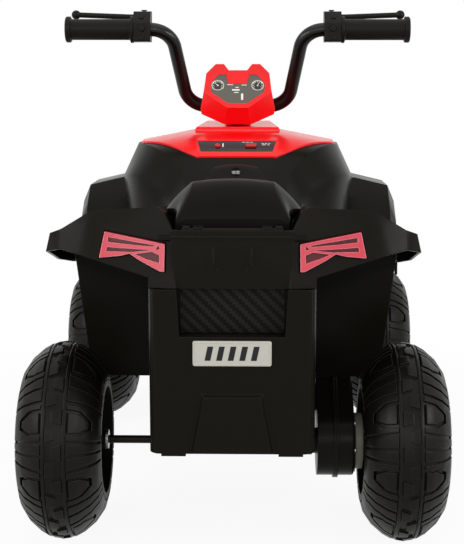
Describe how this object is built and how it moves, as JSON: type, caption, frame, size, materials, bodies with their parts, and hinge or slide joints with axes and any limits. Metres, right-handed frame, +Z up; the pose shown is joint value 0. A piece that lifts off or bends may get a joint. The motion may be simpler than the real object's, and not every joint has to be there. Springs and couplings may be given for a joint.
{
  "type": "kids quad bike",
  "caption": "Battery ride-on quad bike for a small child, with a raked handlebar, lift-up seat, fat lugged wheels, steered front axle and a geared rear wheel.",
  "frame": {"origin": "on the ground under the middle of the bounding box", "axes": "+X to the rider's right, +Y forward along the wheelbase, +Z up"},
  "size_m": [0.5448, 0.828, 0.656],
  "materials": {
    "black_moulding": "satin",
    "red_moulding": "gloss",
    "seat_moulding": "satin",
    "tyre_moulding": "matte",
    "rim_moulding": "satin",
    "panel_black": "satin",
    "button_red": "gloss",
    "lever_plastic": "satin",
    "tube_paint": "satin",
    "grip_rubber": "matte",
    "lamp_red": "plated",
    "lamp_clear": "gloss",
    "display": "gloss",
    "plate_silver": "satin",
    "steel": "zinc plated",
    "pinion_brass": "machined",
    "nylon": "satin",
    "battery_case": "satin"
  },
  "bodies": {
    "chassis": {"lower_body": "black_moulding", "rear_cover": "black_moulding", "front_cover": "black_moulding", "tank_cover": "red_moulding", "control_panel": "panel_black", "front_fender_left": "black_moulding", "front_fender_right": "black_moulding", "headlamps": "lamp_clear", "front_bumper": "black_moulding", "tail_lamp_left": "lamp_red", "tail_lamp_right": "lamp_red", "number_plate": "plate_silver", "rear_insert": "panel_black", "pivot_pins": "steel", "battery": "battery_case", "charge_socket": "panel_black", "rear_axle": "steel", "rear_axle_nuts": "steel", "axle_bushes": "nylon", "gearbox_inner_case": "black_moulding", "gearbox_outer_case": "black_moulding", "motor": "steel", "idler_pin": "steel", "front_axle": "tube_paint", "kingpins": "steel", "column_bushes": "nylon"},
    "steering": {"steering_column": "tube_paint", "handlebar": "tube_paint", "dash_housing": "red_moulding", "dash_lens": "display", "grip_left": "grip_rubber", "grip_right": "grip_rubber", "lever_perch_left": "panel_black", "lever_perch_right": "panel_black", "lever_pins": "steel"},
    "brake_lever_left": {"brake_lever_left": "lever_plastic"},
    "brake_lever_right": {"brake_lever_right": "lever_plastic"},
    "horn_button": {"horn_button": "panel_black"},
    "light_button": {"light_button": "panel_black"},
    "power_button": {"power_button": "button_red"},
    "direction_rocker": {"direction_rocker": "panel_black"},
    "foot_pedal": {"foot_pedal": "panel_black"},
    "seat": {"seat": "seat_moulding", "seat_screw": "steel"},
    "knuckle_left": {"knuckle_left": "steel", "spindle_nut_left": "steel"},
    "knuckle_right": {"knuckle_right": "steel", "spindle_nut_right": "steel"},
    "tie_rod": {"tie_rod": "steel"},
    "wheel_front_left": {"tyre_front_left": "tyre_moulding", "rim_front_left": "rim_moulding"},
    "wheel_front_right": {"tyre_front_right": "tyre_moulding", "rim_front_right": "rim_moulding"},
    "wheel_rear_left": {"tyre_rear_left": "tyre_moulding", "rim_rear_left": "rim_moulding"},
    "wheel_rear_right": {"tyre_rear_right": "tyre_moulding", "rim_rear_right": "rim_moulding", "drive_gear": "nylon"},
    "idler_gear": {"idler_gear": "nylon"},
    "motor_pinion": {"motor_pinion": "pinion_brass"}
  },
  "joints": [
    {"name": "steer", "type": "hinge", "parent": "chassis", "child": "steering", "pos_m": [0, 0.24579, 0.1609], "axis": [0, -0.4695, 0.8829], "range_deg": [-24, 24]},
    {"name": "kingpin_left", "type": "hinge", "parent": "chassis", "child": "knuckle_left", "pos_m": [-0.125, 0.25, 0.124], "axis": [0, 0, 1], "range_deg": [-24, 24]},
    {"name": "kingpin_right", "type": "hinge", "parent": "chassis", "child": "knuckle_right", "pos_m": [0.125, 0.25, 0.124], "axis": [0, 0, 1], "range_deg": [-24, 24]},
    {"name": "tie_rod_pivot", "type": "hinge", "parent": "knuckle_left", "child": "tie_rod", "pos_m": [-0.125, 0.214, 0.144], "axis": [0, 0, 1], "range_deg": [-24, 24]},
    {"name": "wheel_spin_front_left", "type": "hinge", "parent": "knuckle_left", "child": "wheel_front_left", "pos_m": [-0.22025, 0.25, 0.124], "axis": [1, 0, 0], "continuous": true},
    {"name": "wheel_spin_front_right", "type": "hinge", "parent": "knuckle_right", "child": "wheel_front_right", "pos_m": [0.22025, 0.25, 0.124], "axis": [1, 0, 0], "continuous": true},
    {"name": "wheel_spin_rear_left", "type": "hinge", "parent": "chassis", "child": "wheel_rear_left", "pos_m": [-0.21125, -0.29, 0.124], "axis": [1, 0, 0], "continuous": true},
    {"name": "wheel_spin_rear_right", "type": "hinge", "parent": "chassis", "child": "wheel_rear_right", "pos_m": [0.21125, -0.29, 0.124], "axis": [1, 0, 0], "continuous": true},
    {"name": "idler_spin", "type": "hinge", "parent": "chassis", "child": "idler_gear", "pos_m": [0.12, -0.26493, 0.15388], "axis": [1, 0, 0], "continuous": true},
    {"name": "pinion_spin", "type": "hinge", "parent": "chassis", "child": "motor_pinion", "pos_m": [0.11, -0.24731, 0.16866], "axis": [1, 0, 0], "continuous": true},
    {"name": "brake_left", "type": "hinge", "parent": "steering", "child": "brake_lever_left", "pos_m": [-0.1328, 0.03089, 0.646], "axis": [0, 0, 1], "range_deg": [0, 10], "stiffness_Nm_per_rad": 0.5, "springref_deg": -5.73},
    {"name": "brake_right", "type": "hinge", "parent": "steering", "child": "brake_lever_right", "pos_m": [0.1328, 0.03089, 0.646], "axis": [0, 0, -1], "range_deg": [0, 10], "stiffness_Nm_per_rad": 0.5, "springref_deg": -5.73},
    {"name": "horn_press", "type": "slide", "parent": "steering", "child": "horn_button", "axis": [0, 1, 0], "range_m": [0, 0.002], "stiffness_N_per_m": 300},
    {"name": "light_press", "type": "slide", "parent": "steering", "child": "light_button", "axis": [0, 1, 0], "range_m": [0, 0.002], "stiffness_N_per_m": 300},
    {"name": "power_press", "type": "slide", "parent": "chassis", "child": "power_button", "axis": [0, 0.4425, -0.8968], "range_m": [0, 0.002], "stiffness_N_per_m": 300},
    {"name": "direction_tilt", "type": "hinge", "parent": "chassis", "child": "direction_rocker", "pos_m": [0.01968, -0.05731, 0.46793], "axis": [1, 0, 0], "range_deg": [-10, 10]},
    {"name": "pedal_press", "type": "hinge", "parent": "chassis", "child": "foot_pedal", "pos_m": [0.148, -0.0723, 0.19], "axis": [-1, 0, 0], "range_deg": [0, 8], "stiffness_Nm_per_rad": 1.5, "springref_deg": -8.59},
    {"name": "seat_lift", "type": "hinge", "parent": "chassis", "child": "seat", "pos_m": [0, -0.365, 0.403], "axis": [1, 0, 0], "range_deg": [0, 70]}
  ],
  "couplings": [
    {"joint": "kingpin_left", "follows": "steer", "ratio": 1},
    {"joint": "kingpin_right", "follows": "steer", "ratio": 1},
    {"joint": "tie_rod_pivot", "follows": "steer", "ratio": -1},
    {"joint": "idler_spin", "follows": "wheel_spin_rear_right", "ratio": -3.3333},
    {"joint": "pinion_spin", "follows": "wheel_spin_rear_right", "ratio": 12}
  ]
}
